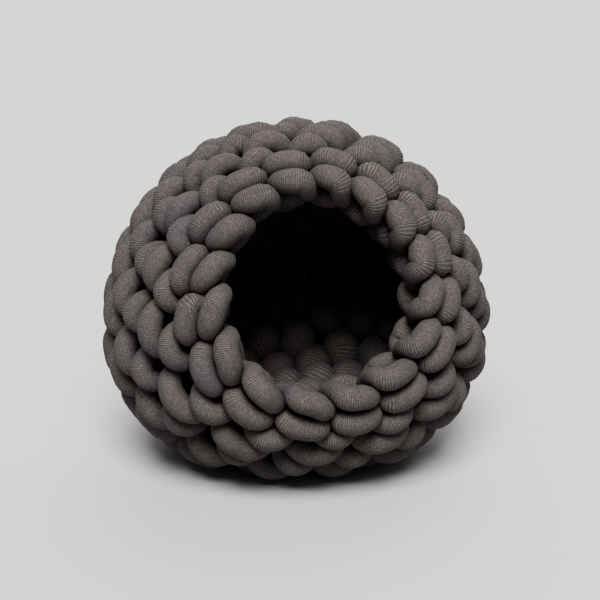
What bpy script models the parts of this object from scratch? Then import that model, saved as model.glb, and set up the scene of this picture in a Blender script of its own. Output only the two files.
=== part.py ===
"""Cat cocoon bed: a ball-shaped pet cave worked in the round from one thick stuffed tube of jersey.

The bed is one hollow soft solid.  Its rows of stitches are rings about the axis of the round mouth,
which faces -Y and leans back a little.  Each stitch is a sideways loop with two fat legs, and the
outer skin follows those legs.  The body has settled on the floor into a broad, flat base.
"""
import math

import bmesh
import bpy
import numpy as np

# Driving dimensions, in metres and degrees
WIDTH = 0.474            # across the widest level of the body
BALL_DEPTH = 0.446       # front to back, before the mouth takes the front away
HEIGHT = 0.419
BELLY_LEVEL = 0.164      # height of the widest level
BELLY_DROP = 0.207       # how far the round underside would reach below the belly without a floor
HEART_LEVEL = 0.213      # height of the point that the rows are set out from
LEAN = 0.008             # sideways lean of the crown
BASE_BLEND = 0.030       # softness of the turn from the side to the flat base
BASE_FADE = 0.018        # height over which the stitches rise out of the flat base
WALL = 0.068             # skin to inside face: two layers of tube
TUBE = 0.028             # diameter of the stuffed tube
AXIS_TILT = 15.0         # how far the mouth's axis leans back from level

# Rows from the mouth to the back: angle from the mouth's axis, how much further from it the row lies at
# the top, stitches, place of the first stitch in stitches clockwise from the top, and share of the
# unevenness that the row takes
ROWS = (
    (36.1, 0.4, 16, 0.45, 0.30),
    (49.2, 1.1, 16, -0.06, 1.00),
    (65.3, 3.0, 20, 0.50, 0.90),
    (84.5, 3.0, 22, 0.00, 0.60),
    (103.0, 3.0, 22, 0.50, 0.30),
    (120.5, 2.5, 20, 0.00, 0.00),
    (137.5, 2.0, 15, 0.50, 0.00),
    (154.0, 1.0, 10, 0.00, 0.00),
    (169.5, 0.0, 5, 0.50, 0.00),
)
ROW_ROOM = 19.5          # spacing of the rows below which their relief is squeezed together
RIM_ROOM = 13.8          # the same for the space between the rim and the first row

# Unevenness of hand-worked rows: waves a turn, degrees away from the mouth, turn of a crest
WANDER = ((2, 0.9, -50.0), (3, 2.7, -9.0))

# Turn, and degrees that the stitches there have slipped clockwise
SLIP = ((0, 1.0), (60, 2.0), (100, -2.0), (135, -6.0), (180, -3.0),
        (215, 0.0), (250, 3.0), (300, 2.0), (360, 1.0))

# Mesh density
COLUMNS_PER_STITCH = 5
LINING_COLUMNS = 36
LINING_STEP = 13.0       # degrees between the rings of the inside face

TUBE_ANGLE = math.degrees(TUBE / (0.5 * (WIDTH - TUBE)))     # one tube diameter along the body


# Lines of the relief over one stitch.  ALONG runs from -0.5 to 0.5 of a stitch, clockwise.  Each
# line gives its place across the row, away from the mouth, and its height over the middle of the
# tube, both in tube diameters.

def arch(along):
    """Height of a leg's crest, fat in the middle and pinched at both ends."""
    return 0.5 - 1.1 * abs(2 * along) ** 2.5


def near_bend(along):
    """Crescent of the leg nearer the mouth: its ends turn in towards the mouth."""
    return 0.12 - 0.55 * (2 * along) ** 2


def far_bend(along):
    """Crescent of the leg further from the mouth, nested behind the near one."""
    return 1.15 - 0.40 * (2 * along) ** 2 - 0.45 * along


def pocket(along):
    """Height of the floor of the pockets between two rows."""
    return -0.10 - 0.30 * (2 * along) ** 2


ROW_LINES = (
    lambda along: (1.65 - 0.10 * (2 * along) ** 2, pocket(along)),
    lambda along: (far_bend(along), arch(along) - 0.12),
    lambda along: (0.5 * (near_bend(along) + far_bend(along)) + 0.05, arch(along) - 0.40),
    lambda along: (near_bend(along), arch(along)),
    lambda along: (-0.48 - 0.25 * (2 * along) ** 2, pocket(along)),
)

RIM_LINES = (
    lambda along: (1.10 - 0.30 * along, pocket(along)),
    lambda along: (0.58 - 0.60 * along, arch(along)),
    lambda along: (0.02 - 0.75 * along, arch(along) - 0.25),
    lambda along: (-0.62 - 0.75 * along, arch(along)),
)

# Rings of the lip: distance from the mouth's axis, and depth below the envelope
LIP = ((0.0935, 1.2 * TUBE), (0.0950, 0.65 * WALL), (0.1020, 0.9 * WALL))


def direction(angle, turn):
    """Unit vector at ANGLE from the mouth's axis, turned clockwise from the top as the mouth is seen."""
    tilt = math.radians(AXIS_TILT)
    axis = np.array((0.0, -math.cos(tilt), math.sin(tilt)))
    up = np.array((0.0, math.sin(tilt), math.cos(tilt)))
    right = np.array((1.0, 0.0, 0.0))
    return (math.cos(angle) * axis
            + math.sin(angle) * (math.cos(turn) * up + math.sin(turn) * right))


def reach(way, inset):
    """Distance from the heart to the body's envelope, drawn in by INSET, along the vector WAY."""
    rise = HEART_LEVEL - BELLY_LEVEL

    def egg(height):
        squeeze = height - inset
        a = ((way[0] / (0.5 * WIDTH - inset)) ** 2 + (way[1] / (0.5 * BALL_DEPTH - inset)) ** 2
             + (way[2] / squeeze) ** 2)
        b = 2 * way[2] * rise / squeeze ** 2
        c = (rise / squeeze) ** 2 - 1
        return (-b + math.sqrt(b * b - 4 * a * c)) / (2 * a)

    radius = egg(HEIGHT - BELLY_LEVEL)
    if rise + radius * way[2] < 0:
        radius = egg(BELLY_DROP)
    if way[2] > -0.05:
        return radius
    to_floor = (HEART_LEVEL - inset) / -way[2]
    blend = max(0.0, 1 - abs(radius - to_floor) / BASE_BLEND)
    return min(radius, to_floor) - 0.25 * BASE_BLEND * blend ** 2


def body_point(angle, turn, inset):
    """Point of the body at ANGLE and TURN (radians), INSET below the envelope."""
    way = direction(angle, turn)
    x, y, z = np.array((0.0, 0.0, HEART_LEVEL)) + reach(way, inset) * way
    return x + LEAN * (z / HEIGHT) ** 2, y, z


def skin_point(angle, turn, height):
    """Point of the skin, HEIGHT over the middle of the tube, with the relief fading into the base."""
    x, y, z = body_point(angle, turn, 0.0)
    if z < 0.0005:
        return x, y, 0.0
    depth = (0.5 * TUBE - height) * min(1.0, z / BASE_FADE)
    x, y, z = body_point(angle, turn, depth)
    return x, y, max(z, 0.0)


def row_angle(number, turn):
    """Angle of the middle of row NUMBER at TURN, in degrees.  A row past the last one is the back's pole."""
    if number == len(ROWS):
        return 180.0
    middle, lift, _, _, share = ROWS[number]
    stray = sum(size * math.cos(math.radians(waves * (turn - crest))) for waves, size, crest in WANDER)
    return middle + lift * math.cos(math.radians(turn)) + share * stray


def squeeze(number, turn, across):
    """How much the relief of row NUMBER is drawn together on the side that ACROSS points to."""
    if across > 0:
        room = RIM_ROOM if number == 0 else ROW_ROOM
        return min(1.0, (row_angle(number + 1, turn) - row_angle(number, turn)) / room)
    if number == 0:
        return 1.0
    return min(1.0, (row_angle(number, turn) - row_angle(number - 1, turn)) / ROW_ROOM)


def row_rings(number, lines):
    """Rings of (turn, point) along the relief lines of row NUMBER, each starting at its smallest turn.

    The ring furthest from the mouth comes first.
    """
    _, _, stitches, first, share = ROWS[number]
    rings = []
    for line in lines:
        ring = []
        for column in range(COLUMNS_PER_STITCH * stitches):
            along = (column % COLUMNS_PER_STITCH + 0.5) / COLUMNS_PER_STITCH - 0.5
            across, height = line(along)
            turn = 360 * (column // COLUMNS_PER_STITCH + first + along) / stitches
            angle = row_angle(number, turn) + squeeze(number, turn, across) * across * TUBE_ANGLE
            slip = np.interp(turn % 360, [place[0] for place in SLIP], [place[1] for place in SLIP])
            turn = math.radians((turn + share * slip) % 360)
            ring.append((turn, skin_point(math.radians(angle), turn, height * TUBE)))
        rings.append(sorted(ring))
    return rings


def outer_rings():
    """Rings of (turn, point) over the outside, from the centre of the back to the lip of the mouth."""
    rings = []
    for number in reversed(range(1, len(ROWS))):
        rings += row_rings(number, ROW_LINES)
    return rings + row_rings(0, RIM_LINES)


def lining_rings():
    """Rings of (turn, point) over the lip and the inside face, from the mouth to the back."""
    turns = [2 * math.pi * column / LINING_COLUMNS for column in range(LINING_COLUMNS)]
    rings = [[(turn, lip_point(radius, turn, inset)) for turn in turns] for radius, inset in LIP]
    angle = ROWS[0][0] + LINING_STEP
    while angle < 176:
        rings.append([(turn, body_point(math.radians(angle), turn, WALL)) for turn in turns])
        angle += LINING_STEP
    return rings


def lip_point(radius, turn, inset):
    """Point at RADIUS from the mouth's axis, INSET below the envelope."""
    angle = math.radians(ROWS[0][0])
    for _ in range(12):
        angle = math.asin(radius / reach(direction(angle, turn), inset))
    return body_point(angle, turn, inset)


def bridge(mesh, first, second):
    """Triangles between two rings of (turn, vertex) that may differ in number."""
    i = j = 0
    while i < len(first) or j < len(second):
        next_turn_i = first[(i + 1) % len(first)][0] + (2 * math.pi if i + 1 >= len(first) else 0)
        next_turn_j = second[(j + 1) % len(second)][0] + (2 * math.pi if j + 1 >= len(second) else 0)
        a = first[i % len(first)][1]
        b = second[j % len(second)][1]
        if j == len(second) or (i < len(first) and next_turn_i <= next_turn_j):
            mesh.faces.new((a, first[(i + 1) % len(first)][1], b))
            i += 1
        else:
            mesh.faces.new((a, second[(j + 1) % len(second)][1], b))
            j += 1


def cap(mesh, ring, point):
    """Fan that closes a ring at a pole."""
    pole = mesh.verts.new(point)
    for i in range(len(ring)):
        mesh.faces.new((ring[i][1], ring[(i + 1) % len(ring)][1], pole))


def build_cocoon():
    """The whole bed as one closed mesh, its box centred on the origin and standing on z = 0."""
    mesh = bmesh.new()
    rings = [[(turn, mesh.verts.new(point)) for turn, point in ring]
             for ring in outer_rings() + lining_rings()]
    for first, second in zip(rings, rings[1:]):
        bridge(mesh, first, second)
    cap(mesh, rings[0], body_point(math.pi, 0.0, 0.5 * TUBE))
    cap(mesh, rings[-1], body_point(math.pi, 0.0, WALL))
    bmesh.ops.recalc_face_normals(mesh, faces=mesh.faces)
    corners = np.array([vertex.co for vertex in mesh.verts])
    centre = 0.5 * (corners.min(axis=0) + corners.max(axis=0))
    bmesh.ops.translate(mesh, verts=mesh.verts, vec=(-centre[0], -centre[1], 0.0))
    return mesh


def jersey_material():
    """Matte warm-grey cotton jersey."""
    material = bpy.data.materials.new("grey_jersey")
    material.use_nodes = True
    shader = material.node_tree.nodes["Principled BSDF"]
    shader.inputs["Base Color"].default_value = (0.115, 0.100, 0.095, 1.0)
    shader.inputs["Roughness"].default_value = 0.92
    shader.inputs["Metallic"].default_value = 0.0
    return material


def main():
    for thing in list(bpy.data.objects):
        bpy.data.objects.remove(thing, do_unlink=True)
    mesh = build_cocoon()
    data = bpy.data.meshes.new("cocoon")
    mesh.to_mesh(data)
    mesh.free()
    data.shade_smooth()
    data.materials.append(jersey_material())
    cocoon = bpy.data.objects.new("cocoon", data)
    bpy.context.scene.collection.objects.link(cocoon)


main()
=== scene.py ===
"""Looks of the cat cocoon bed: its rows of stitches as one fat stuffed jersey tube, worked round the mouth.

Each row is a closed chain of sideways loops.  A loop shows as two fat legs side by side, the far one
a little further clockwise.  Between loops the tube dives inside and runs on along the inner face.
"""

import math

import bpy
import numpy as np
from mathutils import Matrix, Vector
from mathutils.kdtree import KDTree


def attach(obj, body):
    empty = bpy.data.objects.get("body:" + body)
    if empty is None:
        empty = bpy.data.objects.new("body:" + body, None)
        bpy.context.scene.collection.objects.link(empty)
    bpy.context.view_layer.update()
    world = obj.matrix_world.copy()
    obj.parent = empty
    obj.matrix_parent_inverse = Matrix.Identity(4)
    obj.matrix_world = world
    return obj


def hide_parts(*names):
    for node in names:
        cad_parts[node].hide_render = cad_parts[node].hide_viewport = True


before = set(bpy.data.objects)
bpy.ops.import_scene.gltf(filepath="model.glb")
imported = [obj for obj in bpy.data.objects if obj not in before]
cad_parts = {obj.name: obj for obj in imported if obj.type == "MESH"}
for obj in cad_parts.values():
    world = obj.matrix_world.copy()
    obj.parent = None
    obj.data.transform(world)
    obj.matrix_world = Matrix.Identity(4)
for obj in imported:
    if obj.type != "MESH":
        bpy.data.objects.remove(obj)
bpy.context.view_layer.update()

# ---------------------------------------------------------------- body
# The envelope of the CAD solid, with a narrower base (metres, degrees)
WIDTH = 0.474            # across the widest level of the body
BALL_DEPTH = 0.446       # front to back, before the mouth takes the front away
HEIGHT = 0.419
BELLY_LEVEL = 0.164      # height of the widest level
BELLY_DROP = 0.192       # how far the round underside would reach below the belly without a floor
HEART_LEVEL = 0.213      # height of the point that the rows are set out from
LEAN = 0.008             # sideways lean of the crown
BASE_BLEND = 0.030       # softness of the turn from the side to the flat base
FLOORWARD = -0.05        # upward share of a direction from the heart, above which it misses the floor
TUBE = 0.028             # diameter of the stuffed tube
AXIS_TILT = 15.0         # how far the mouth's axis leans back from level
CENTRING = (-0.0022, 0.0004, 0.0)      # moves the centre of the CAD solid's box onto the origin
TUBE_ANGLE = math.degrees(TUBE / (0.5 * (WIDTH - TUBE)))      # one tube diameter along the body

# ---------------------------------------------------------------- rows
# Rows from the mouth to the back: angle from the mouth's axis, how much further from it the row lies at
# the top, stitches, place of the first stitch in stitches clockwise from the top, and share of the
# unevenness that the row takes
ROWS = (
    (41.7, 1.0, 16, 0.45, 0.30),
    (54.8, 1.3, 16, -0.06, 1.00),
    (71.2, 3.6, 20, 0.50, 0.90),
    (88.0, 4.0, 22, 0.00, 0.60),
    (105.5, 3.0, 22, 0.50, 0.30),
    (122.5, 2.5, 20, 0.00, 0.00),
    (139.0, 2.0, 15, 0.50, 0.00),
    (154.5, 1.0, 10, 0.30, 0.00),
    (170.0, 0.0, 5, 0.50, 0.00),
)
ROW_ROOM = 18.8          # degrees from row to row that a stitch takes up when it isn't squeezed
TIGHTEST = 0.6           # least share of its full breadth that a stitch is squeezed to
LAST_SQUEEZE = 0.75      # the share for the last row

# Each of these is a mean and then, for each wave round the mouth, waves a turn, size and turn of a crest.
# WANDER: unevenness of hand-worked rows, in degrees away from the mouth.  LAG: far legs lie further
# clockwise than the near ones, in stitches.  SLANT: the rim's legs slant into the mouth at their
# clockwise end, in tube diameters a stitch.
WANDER = (0.0, (2, 0.9, -50.0), (3, 2.7, -9.0))
LAG = (0.26, (1, 0.10, 270.0))
SLANT = (0.42, (1, 0.15, 285.0), (2, 0.18, 280.0))

# Turn, and degrees that the stitches there have slipped clockwise
SLIP = ((0, 1.0), (60, 2.0), (100, -2.0), (135, -6.0), (180, -3.0),
        (215, 0.0), (250, 3.0), (300, 2.0), (360, 1.0))

# How far stitches stray from their table, as standard deviations in its columns
STRAY = (0.030, 0.055, 0.04, 0.03)

# ---------------------------------------------------------------- stitches
# Centre line of the tube through one stitch.  ALONG is in stitches, clockwise; ACROSS (away from the
# mouth) and ABOVE (out of the body, from the middle of the outer layer) are in tube diameters; GIRTH is
# the tube's own diameter over the nominal one.  ROW_STITCH serves the two rows behind the rim, and
# BACK_STITCH, whose legs are longer, the rows from there to the middle of the back.
ROW_STITCH = (
    # near leg, clockwise
    (-0.34, -0.36, -1.10, 0.50), (-0.28, -0.18, -0.52, 0.80), (-0.11, 0.00, -0.06, 0.98),
    (0.11, 0.00, -0.06, 0.98), (0.28, -0.18, -0.52, 0.80), (0.34, -0.36, -1.10, 0.50),
    # head of the loop, out of sight
    (0.42, -0.15, -1.50, 0.66), (0.46, 0.45, -1.45, 0.66),
    # far leg, anticlockwise
    (0.42, 0.90, -0.92, 0.66), (0.35, 1.04, -0.34, 0.90), (0.13, 1.18, 0.00, 1.05),
    (-0.09, 1.20, 0.00, 1.05), (-0.30, 1.14, -0.34, 0.88), (-0.37, 1.00, -0.95, 0.64),
    # inside strand to the next stitch
    (-0.38, 0.95, -1.50, 1.05), (-0.18, 1.20, -1.74, 1.40), (0.14, 0.80, -1.80, 1.50),
    (0.36, 0.10, -1.80, 1.50), (0.52, -0.52, -1.70, 1.35), (0.64, -0.60, -1.45, 0.85),
)
BACK_STITCH = (
    # near leg, clockwise
    (-0.44, -0.32, -1.05, 0.56), (-0.37, -0.16, -0.42, 0.88), (-0.14, 0.00, 0.00, 1.06),
    (0.14, 0.00, 0.00, 1.06), (0.37, -0.16, -0.42, 0.88), (0.44, -0.32, -1.05, 0.56),
    # head
    (0.50, -0.10, -1.50, 0.70), (0.52, 0.45, -1.50, 0.70),
    # far leg, anticlockwise
    (0.48, 0.90, -0.95, 0.66), (0.42, 1.06, -0.36, 0.92), (0.16, 1.20, 0.00, 1.10),
    (-0.12, 1.22, 0.00, 1.10), (-0.37, 1.16, -0.36, 0.92), (-0.44, 1.02, -0.95, 0.66),
    # inside strand
    (-0.42, 0.90, -1.50, 1.05), (-0.18, 0.95, -1.75, 1.45), (0.14, 0.66, -1.80, 1.50),
    (0.34, 0.10, -1.80, 1.50), (0.46, -0.30, -1.70, 1.35), (0.54, -0.42, -1.45, 0.85),
)
RIM_STITCH = (
    # inner leg, clockwise
    (-0.50, 0.34, -0.98, 0.66), (-0.42, -0.18, -0.36, 0.92), (-0.15, -0.46, 0.00, 1.06),
    (0.14, -0.52, 0.00, 1.05), (0.38, -0.38, -0.36, 0.92), (0.48, 0.26, -1.02, 0.66),
    # head
    (0.54, 0.36, -1.42, 0.60), (0.53, 0.46, -1.44, 0.62),
    # outer leg, anticlockwise
    (0.48, 0.78, -0.98, 0.68), (0.37, 0.72, -0.24, 0.92), (0.12, 0.74, 0.02, 1.05),
    (-0.14, 0.76, 0.02, 1.03), (-0.37, 0.76, -0.24, 0.90), (-0.46, 0.80, -0.90, 0.66),
    # inside strand
    (-0.45, 0.66, -1.40, 0.80), (-0.10, 0.60, -1.62, 0.92), (0.22, 0.50, -1.60, 0.92),
    (0.44, 0.36, -1.30, 0.74),
)

INSIDE = -1.2            # ABOVE at which the tube is inside, where the slant of the rim's legs ends
FINE = 12                # steps of a smooth curve from one of its points to the next
RINGS_PER_STITCH = 72    # rings and sides of the swept tube
SIDES = 20

# Names of the pieces, and their first row and the one after their last
PIECES = (
    ("rim_and_front_rows", 0, 3),
    ("side_rows", 3, 6),
    ("back_rows", 6, 9),
)

# ---------------------------------------------------------------- settling of the tube
POINTS_PER_STITCH = 34
NEIGHBOURS = 5           # points apart on one line that never count as touching
CONTACT_REACH = 0.036    # how near two points lie to be looked at for contact
SETTLE_STEPS = 40
STEPS_PER_SEARCH = 5
PACKED_FROM = 3          # first of the side and back rows, which are worked tighter and fatter
FLOOR_PRESS = 0.9        # lowest height of a centre line, in radii

# Shares of each move that one step makes
PULL = 0.10              # towards a straight tube
HOLD = (0.25, 0.10)      # along the body, back to the table's place: rim, other rows
HOLD_DEPTH = 0.12        # the same in and out of the body
PUSH = 0.8               # apart, where two stretches overlap

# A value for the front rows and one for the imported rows
SOFTNESS = (0.0002, 0.009)      # how far two stretches press into each other
FATNESS = (1.0, 1.20)           # girth of the tube over the table's

# ---------------------------------------------------------------- surfaces
RIB_PITCH = 0.0016       # ribs run round the tube
WALES = 40               # lines along the tube, round its girth
# The next two shares lift the colour on the crests of the ribs and the wales away from the dark groove
# colour; the troughs between them are painted shade
RIB_PAINTED_SHADE_SHARE = 0.52
WALE_PAINTED_SHADE_SHARE = 0.20
FLECK_SHARE = 0.36
JERSEY_CREST_COOL = (0.158, 0.141, 0.147, 1.0)
JERSEY_CREST_WARM = (0.182, 0.164, 0.144, 1.0)
# Dark colour of the troughs between ribs and between wales: painted shade
JERSEY_GROOVE_PAINTED_SHADE = (0.052, 0.044, 0.043, 1.0)
JERSEY_SHEEN = (0.80, 0.76, 0.74, 1.0)
FLOOR_COOL = (0.470, 0.473, 0.482, 1.0)
FLOOR_WARM = (0.486, 0.486, 0.481, 1.0)
FLOOR_REACH = 40.0       # from the bed to the edges

# ---------------------------------------------------------------- light and view
# Name, direction that the light comes from, how wide it looks in degrees, power
SUNS = (
    ("key", (-0.15, -0.80, 1.08), 32.0, 4.1),
    ("fill", (0.10, -1.0, 0.40), 60.0, 0.30),
    ("back", (0.35, 1.0, 0.90), 60.0, 1.2),
)
SKY = (0.9, 0.92, 0.95, 1.0)
SKY_STRENGTH = 0.22
CAMERA_AIM = (0.0022, 0.0, 0.1955)
CAMERA_ELEVATION = 15.7
CAMERA_YAW = -9.3        # degrees from the front towards +X
CAMERA_DISTANCE = 2.0
CAMERA_LENS = 98.5
SENSOR_WIDTH = 36.0


def directions(angle, turn):
    """Unit vectors at ANGLE from the mouth's axis and TURN clockwise from the top (radians, arrays)."""
    tilt = math.radians(AXIS_TILT)
    axis = np.array((0.0, -math.cos(tilt), math.sin(tilt)))
    up = np.array((0.0, math.sin(tilt), math.cos(tilt)))
    right = np.array((1.0, 0.0, 0.0))
    angle = np.asarray(angle)[:, None]
    turn = np.asarray(turn)[:, None]
    return np.cos(angle) * axis + np.sin(angle) * (np.cos(turn) * up + np.sin(turn) * right)


def egg(ways, inset, tall):
    """Distances from the heart along WAYS to an ellipsoid about the belly, TALL each way, less INSET."""
    rise = HEART_LEVEL - BELLY_LEVEL
    squeeze = tall - inset
    a = ((ways[:, 0] / (0.5 * WIDTH - inset)) ** 2 + (ways[:, 1] / (0.5 * BALL_DEPTH - inset)) ** 2
         + (ways[:, 2] / squeeze) ** 2)
    b = 2 * ways[:, 2] * rise / squeeze ** 2
    c = (rise / squeeze) ** 2 - 1
    return (-b + np.sqrt(b * b - 4 * a * c)) / (2 * a)


def reach(ways, inset):
    """Distances from the heart to the body's envelope, drawn in by INSET, along WAYS."""
    rise = HEART_LEVEL - BELLY_LEVEL
    radius = egg(ways, inset, HEIGHT - BELLY_LEVEL)
    radius = np.where(rise + radius * ways[:, 2] < 0, egg(ways, inset, BELLY_DROP), radius)
    down = np.minimum(ways[:, 2], FLOORWARD)
    to_floor = (HEART_LEVEL - inset) / -down
    blend = np.maximum(0.0, 1 - np.abs(radius - to_floor) / BASE_BLEND)
    low = np.minimum(radius, to_floor) - 0.25 * BASE_BLEND * blend ** 2
    return np.where(ways[:, 2] > FLOORWARD, radius, low)


def body_points(angle, turn, inset):
    """Points of the body at ANGLE and TURN (radians), INSET below the envelope (arrays)."""
    ways = directions(angle, turn)
    points = np.array((0.0, 0.0, HEART_LEVEL)) + reach(ways, np.asarray(inset))[:, None] * ways
    points[:, 0] += LEAN * (points[:, 2] / HEIGHT) ** 2
    return points + np.array(CENTRING)


# ---------------------------------------------------------------- centre lines
def smooth_closed(points, count):
    """COUNT points spaced evenly on a closed Catmull-Rom curve through POINTS, and the curve's length."""
    n = len(points)
    before, after, beyond = np.roll(points, 1, 0), np.roll(points, -1, 0), np.roll(points, -2, 0)
    dense = []
    for s in np.linspace(0, 1, FINE, endpoint=False):
        dense.append(0.5 * (2 * points + (after - before) * s
                            + (2 * before - 5 * points + 4 * after - beyond) * s ** 2
                            + (3 * points - before - 3 * after + beyond) * s ** 3))
    dense = np.stack(dense, 1).reshape(n * FINE, -1)
    ring = np.vstack((dense, dense[:1]))
    length = np.concatenate(([0.0], np.cumsum(np.linalg.norm(np.diff(ring[:, :3], axis=0), axis=1))))
    stops = np.linspace(0, length[-1], count, endpoint=False)
    return np.stack([np.interp(stops, length, column) for column in ring.T], 1), length[-1]


def waves(shape, turn):
    """Mean and waves of SHAPE at the TURNs given in degrees."""
    mean, *crests = shape
    return mean + sum(size * np.cos(np.radians(number * (turn - crest))) for number, size, crest in crests)


def row_angle(row, turn):
    """Angle of a row's middle, in degrees, at the TURNs given in degrees."""
    middle, lift, _, _, share = row
    return middle + lift * np.cos(np.radians(turn)) + share * waves(WANDER, turn)


def row_points(number, along, across, above):
    """Points of row NUMBER at ALONG stitches, with ACROSS and ABOVE in tube diameters."""
    row = ROWS[number]
    _, _, stitches, _, share = row
    turn = 360 * along / stitches
    if number == 0:
        squeeze = 1.0
    elif number + 1 < len(ROWS):
        room = row_angle(ROWS[number + 1], turn) - row_angle(row, turn)
        squeeze = np.clip(room / ROW_ROOM, TIGHTEST, 1.0)
    else:
        squeeze = LAST_SQUEEZE
    angle = row_angle(row, turn) + squeeze * across * TUBE_ANGLE
    turns, slips = zip(*SLIP)
    slip = np.interp(turn % 360, turns, slips)
    return body_points(np.radians(angle), np.radians(turn + share * slip), (0.5 - above) * TUBE)


def row_line(number, stitch, per_stitch, jitter):
    """Closed centre line of one row, PER_STITCH points a stitch, with girth in column 3, and its length."""
    _, _, stitches, first, _ = ROWS[number]
    table = np.array(stitch)
    stray = jitter.normal(0.0, 1.0, (stitches, 4)) * np.array(STRAY)
    rows = (table[None] + stray[:, None]).reshape(-1, 4)
    along = rows[:, 0] + np.repeat(np.arange(stitches), len(table)) + first
    turn = 360 * along / stitches
    if number:
        along += waves(LAG, turn) * np.clip(rows[:, 1], 0, 1)
    else:
        rows[:, 1] -= waves(SLANT, turn) * rows[:, 0] * (rows[:, 2] > INSIDE)
    points = row_points(number, along, rows[:, 1], rows[:, 2])
    return smooth_closed(np.column_stack((points, rows[:, 3])), stitches * per_stitch)


def touching_pairs(points, row_of, place, reach_out):
    """Pairs of points of different stretches of tube that lie within REACH_OUT."""
    tree = KDTree(len(points))
    for i, point in enumerate(points):
        tree.insert(point, i)
    tree.balance()
    found = []
    for i, point in enumerate(points):
        for _, j, _ in tree.find_range(point, reach_out):
            if j > i:
                found.append((i, j))
    a, b = np.array(found).T
    count = np.bincount(row_of)[row_of[a]]
    apart = np.abs(place[a] - place[b])
    apart = np.minimum(apart, count - apart)
    keep = (row_of[a] != row_of[b]) | (apart > NEIGHBOURS)
    return a[keep], b[keep]


def settle(lines):
    """Pulls the tube tight and lets its stretches push each other apart, inside the body's envelope."""
    sizes = [len(line) for line in lines]
    state = np.concatenate(lines)
    points, radius = state[:, :3].copy(), 0.5 * TUBE * state[:, 3]
    rest = points.copy()
    row_of = np.repeat(np.arange(len(lines)), sizes)
    place = np.concatenate([np.arange(n) for n in sizes])
    starts = np.concatenate(([0], np.cumsum(sizes)))[row_of]
    count = np.array(sizes)[row_of]
    after, before = starts + (place + 1) % count, starts + (place - 1) % count
    heart = np.array((0.0, 0.0, HEART_LEVEL))
    hold = np.where(row_of == 0, *HOLD)[:, None]
    soft = np.where(row_of < PACKED_FROM, *SOFTNESS)
    radius *= np.where(row_of < PACKED_FROM, *FATNESS)
    for step in range(SETTLE_STEPS):
        if step % STEPS_PER_SEARCH == 0:
            a, b = touching_pairs(points, row_of, place, CONTACT_REACH)
        points += PULL * (0.5 * (points[after] + points[before]) - points)

        # towards the places that the tables give
        out = points - heart
        out /= np.linalg.norm(out, axis=1)[:, None]
        back = rest - points
        depth = np.sum(back * out, axis=1)[:, None] * out
        points += hold * (back - depth) + HOLD_DEPTH * depth

        # apart at the contacts
        gap = points[b] - points[a]
        distance = np.maximum(np.linalg.norm(gap, axis=1), 1e-5)
        overlap = np.maximum(radius[a] + radius[b] - soft[a] - distance, 0.0)
        push = gap * (0.5 * PUSH * overlap / distance)[:, None]
        move = np.zeros_like(points)
        for k in range(3):
            move[:, k] = np.bincount(b, push[:, k], len(points)) - np.bincount(a, push[:, k], len(points))
        hits = np.bincount(a, overlap > 0, len(points)) + np.bincount(b, overlap > 0, len(points))
        points += move / np.maximum(1.0, 0.5 * hits)[:, None]

        # back inside the envelope and above the floor
        ways = points - heart - np.array(CENTRING)
        out = np.linalg.norm(ways, axis=1)
        limit = reach(ways / out[:, None], radius)
        points -= ways * (np.maximum(out - limit, 0.0) / out)[:, None]
        points[:, 2] = np.maximum(points[:, 2], FLOOR_PRESS * radius)
    state = np.column_stack((points, 2 * radius / TUBE))
    return np.split(state, np.cumsum(sizes)[:-1])


# ---------------------------------------------------------------- tube meshes
def cross_directions(points):
    """Two unit directions square to a closed line at each of its points, without twist."""
    tangent = np.roll(points, -1, 0) - np.roll(points, 1, 0)
    tangent /= np.linalg.norm(tangent, axis=1)[:, None]
    side = np.zeros_like(points)
    start = np.cross(tangent[0], (0.0, 0.0, 1.0))
    side[0] = start / np.linalg.norm(start)
    for i in range(1, len(points)):
        s = side[i - 1] - tangent[i] * side[i - 1].dot(tangent[i])
        side[i] = s / np.linalg.norm(s)
    # The turn that is missing where the last direction meets the first is spread along the line
    last = side[-1] - tangent[0] * side[-1].dot(tangent[0])
    last /= np.linalg.norm(last)
    miss = math.atan2(np.cross(last, side[0]).dot(tangent[0]), last.dot(side[0]))
    other = np.cross(tangent, side)
    turn = (miss * np.arange(len(points)) / len(points))[:, None]
    return side * np.cos(turn) + other * np.sin(turn), other * np.cos(turn) - side * np.sin(turn)


def tube_mesh(name, lines):
    """One mesh object of closed tubes round LINES, which are pairs of points with girths and length."""
    verts, faces, alongs, arounds = [], [], [], []
    base = 0
    turn = 2 * math.pi * np.arange(SIDES) / SIDES
    for points, length in lines:
        n = len(points)
        centre, radius = points[:, :3], 0.5 * TUBE * points[:, 3]
        side, other = cross_directions(centre)
        offset = side[:, None] * np.cos(turn)[:, None] + other[:, None] * np.sin(turn)[:, None]
        ring = centre[:, None] + offset * radius[:, None, None]
        ring[:, :, 2] = np.maximum(ring[:, :, 2], 0.0)
        verts.append(ring.reshape(-1, 3))
        i, j = np.meshgrid(np.arange(n), np.arange(SIDES), indexing="ij")
        i2, j2 = (i + 1) % n, (j + 1) % SIDES
        corners = (i * SIDES + j, i2 * SIDES + j, i2 * SIDES + j2, i * SIDES + j2)
        faces.append(base + np.stack(corners, -1).reshape(-1, 4))
        alongs.append(np.repeat(np.linspace(0, length, n, endpoint=False), SIDES))
        arounds.append(np.tile(turn / (2 * math.pi), n))
        base += n * SIDES
    mesh = bpy.data.meshes.new(name)
    mesh.from_pydata(np.concatenate(verts).tolist(), [], np.concatenate(faces).tolist())
    for key, values in (("tube_along", alongs), ("tube_around", arounds)):
        layer = mesh.attributes.new(key, "FLOAT", "POINT")
        layer.data.foreach_set("value", np.concatenate(values).astype(np.float32))
    mesh.shade_smooth()
    piece = bpy.data.objects.new(name, mesh)
    bpy.context.scene.collection.objects.link(piece)
    return piece


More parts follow.
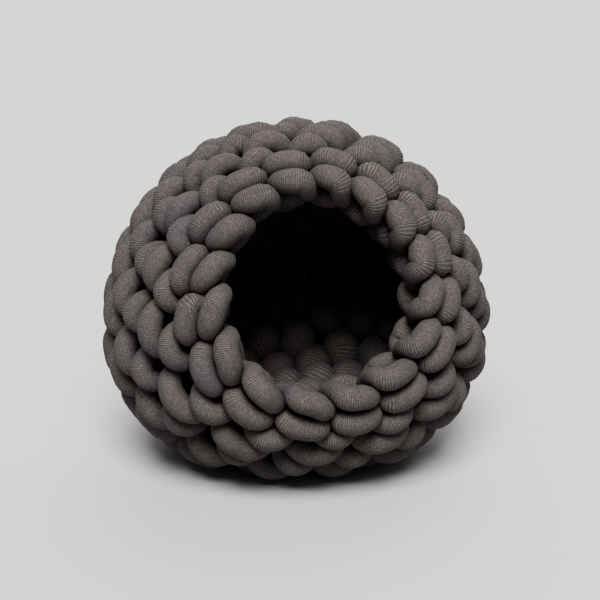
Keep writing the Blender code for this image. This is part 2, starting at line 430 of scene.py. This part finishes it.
jitter = np.random.default_rng(7)
stitch_of = [RIM_STITCH] + 2 * [ROW_STITCH] + (len(ROWS) - 3) * [BACK_STITCH]
lines = [row_line(number, stitch, POINTS_PER_STITCH, jitter)[0] for number, stitch in enumerate(stitch_of)]
lines = settle(lines)
lines = [smooth_closed(line, row[2] * RINGS_PER_STITCH) for line, row in zip(lines, ROWS)]
pieces = [tube_mesh(name, lines[first:end]) for name, first, end in PIECES]


# ---------------------------------------------------------------- materials
class Graph:
    """Short ways of writing a material's nodes."""

    def __init__(self, name):
        self.material = bpy.data.materials.new(name)
        self.material.use_nodes = True
        self.tree = self.material.node_tree
        self.shader = self.tree.nodes["Principled BSDF"]

    def node(self, kind, **settings):
        node = self.tree.nodes.new(kind)
        for key, value in settings.items():
            setattr(node, key, value)
        return node

    def put(self, socket, value):
        """Links or sets one input."""
        if isinstance(value, bpy.types.NodeSocket):
            self.tree.links.new(value, socket)
        else:
            socket.default_value = value

    def math(self, operation, *values):
        node = self.node("ShaderNodeMath", operation=operation)
        for socket, value in zip(node.inputs, values):
            self.put(socket, value)
        return node.outputs[0]

    def attribute(self, name):
        return self.node("ShaderNodeAttribute", attribute_name=name).outputs["Fac"]

    def noise(self, scale, detail=2.0, rough=0.5, **places):
        node = self.node("ShaderNodeTexNoise")
        node.inputs["Scale"].default_value = scale
        node.inputs["Detail"].default_value = detail
        node.inputs["Roughness"].default_value = rough
        for key, value in places.items():
            self.put(node.inputs[key], value)
        return node.outputs[0]

    def ramp(self, value, low, high, to_low=0.0, to_high=1.0):
        node = self.node("ShaderNodeMapRange")
        for socket, number in zip(node.inputs, (value, low, high, to_low, to_high)):
            self.put(socket, number)
        return node.outputs[0]

    def mix(self, share, first, second):
        node = self.node("ShaderNodeMix", data_type="RGBA")
        self.put(node.inputs[0], share)
        self.put(node.inputs[6], first)
        self.put(node.inputs[7], second)
        return node.outputs[2]

    def bump(self, height, distance, strength):
        node = self.node("ShaderNodeBump")
        self.put(node.inputs["Strength"], strength)
        self.put(node.inputs["Distance"], distance)
        self.put(node.inputs["Height"], height)
        return node.outputs["Normal"]


def jersey_material():
    """Stretched cotton jersey: ribs round the tube, faint wales along it, flecked and slightly uneven. The
    troughs between ribs and between wales are painted dark as shade.
    """
    g = Graph("grey_jersey_knit")
    place = g.node("ShaderNodeTexCoord").outputs["Object"]
    along, around = g.attribute("tube_along"), g.attribute("tube_around")
    stretch = g.math("MULTIPLY", g.math("SUBTRACT", g.noise(45.0, Vector=place), 0.5), 0.9 * RIB_PITCH)
    ribs = g.math("MULTIPLY", g.math("ADD", along, stretch), 2 * math.pi / RIB_PITCH)
    rib = g.ramp(g.math("COSINE", ribs), -1.0, 1.0)
    wale = g.ramp(g.math("COSINE", g.math("MULTIPLY", around, 2 * math.pi * WALES)), -1.0, 1.0)
    fleck = g.noise(430.0, 3.0, 0.7, Vector=place)
    broken = g.ramp(g.noise(300.0, 2.0, 0.5, Vector=place), 0.35, 0.65, 0.60, 1.0)
    patch = g.noise(14.0, 3.0, 0.6, Vector=place)
    crest = g.mix(g.ramp(patch, 0.3, 0.7), JERSEY_CREST_COOL, JERSEY_CREST_WARM)
    # Painted shade: where the share is low, the dark groove colour fills the troughs between ribs and
    # wales; the light flecks are the yarn's own colour
    share = g.math("MULTIPLY", g.math("MULTIPLY", rib, broken), RIB_PAINTED_SHADE_SHARE)
    share = g.math("ADD", share, g.math("MULTIPLY", wale, WALE_PAINTED_SHADE_SHARE))
    share = g.math("ADD", share, g.math("MULTIPLY", g.ramp(fleck, 0.42, 0.66), FLECK_SHARE))
    g.put(g.shader.inputs["Base Color"], g.mix(share, JERSEY_GROOVE_PAINTED_SHADE, crest))
    g.put(g.shader.inputs["Roughness"], g.ramp(g.math("ADD", rib, fleck), 0.2, 1.7, 0.97, 0.80))
    height = g.math("ADD", rib, g.math("MULTIPLY", wale, 0.35))
    height = g.math("ADD", height, g.math("MULTIPLY", fleck, 0.5))
    g.put(g.shader.inputs["Normal"], g.bump(height, 0.0003, 0.7))
    g.put(g.shader.inputs["Sheen Weight"], 0.06)
    g.put(g.shader.inputs["Sheen Roughness"], 0.45)
    g.put(g.shader.inputs["Sheen Tint"], JERSEY_SHEEN)
    g.put(g.shader.inputs["Specular IOR Level"], 0.25)
    return g.material


def paper_material():
    """Seamless pale studio paper."""
    g = Graph("pale_floor")
    place = g.node("ShaderNodeTexCoord").outputs["Object"]
    grain = g.noise(220.0, 3.0, 0.6, Vector=place)
    cloud = g.noise(0.8, 2.0, 0.5, Vector=place)
    g.put(g.shader.inputs["Base Color"], g.mix(g.ramp(cloud, 0.3, 0.7), FLOOR_COOL, FLOOR_WARM))
    g.put(g.shader.inputs["Roughness"], g.ramp(grain, 0.3, 0.7, 0.85, 0.95))
    g.put(g.shader.inputs["Normal"], g.bump(grain, 0.0002, 0.3))
    return g.material


jersey = jersey_material()
for piece in pieces:
    piece.data.materials.append(jersey)
    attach(piece, "root")
    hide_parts("cocoon")


# ---------------------------------------------------------------- stage
def add_floor():
    mesh = bpy.data.meshes.new("floor")
    corners = [(x * FLOOR_REACH, y * FLOOR_REACH, 0) for x, y in ((-1, -1), (1, -1), (1, 1), (-1, 1))]
    mesh.from_pydata(corners, [], [(0, 1, 2, 3)])
    floor = bpy.data.objects.new("floor", mesh)
    bpy.context.scene.collection.objects.link(floor)
    mesh.materials.append(paper_material())


def add_sun(name, way, softness, power):
    """Far light that comes from the direction WAY and looks SOFTNESS degrees wide."""
    data = bpy.data.lights.new(name, "SUN")
    data.angle = math.radians(softness)
    data.energy = power
    light = bpy.data.objects.new(name, data)
    light.rotation_euler = Vector(way).to_track_quat("Z", "Y").to_euler()
    bpy.context.scene.collection.objects.link(light)


def add_sky():
    world = bpy.data.worlds.new("studio")
    world.use_nodes = True
    background = world.node_tree.nodes["Background"]
    background.inputs["Color"].default_value = SKY
    background.inputs["Strength"].default_value = SKY_STRENGTH
    bpy.context.scene.world = world


def add_camera():
    data = bpy.data.cameras.new("camera")
    data.sensor_width = SENSOR_WIDTH
    data.lens = CAMERA_LENS
    camera = bpy.data.objects.new("camera", data)
    elevation, yaw = math.radians(CAMERA_ELEVATION), math.radians(CAMERA_YAW)
    flat = math.cos(elevation)
    way = Vector((math.sin(yaw) * flat, -math.cos(yaw) * flat, math.sin(elevation)))
    camera.location = Vector(CAMERA_AIM) + CAMERA_DISTANCE * way
    camera.rotation_euler = (-way).to_track_quat("-Z", "Y").to_euler()
    bpy.context.scene.collection.objects.link(camera)
    bpy.context.scene.camera = camera


add_floor()
for sun in SUNS:
    add_sun(*sun)
add_sky()
bpy.context.scene.view_settings.view_transform = "AgX"
bpy.context.scene.view_settings.look = "AgX - Very High Contrast"
add_camera()
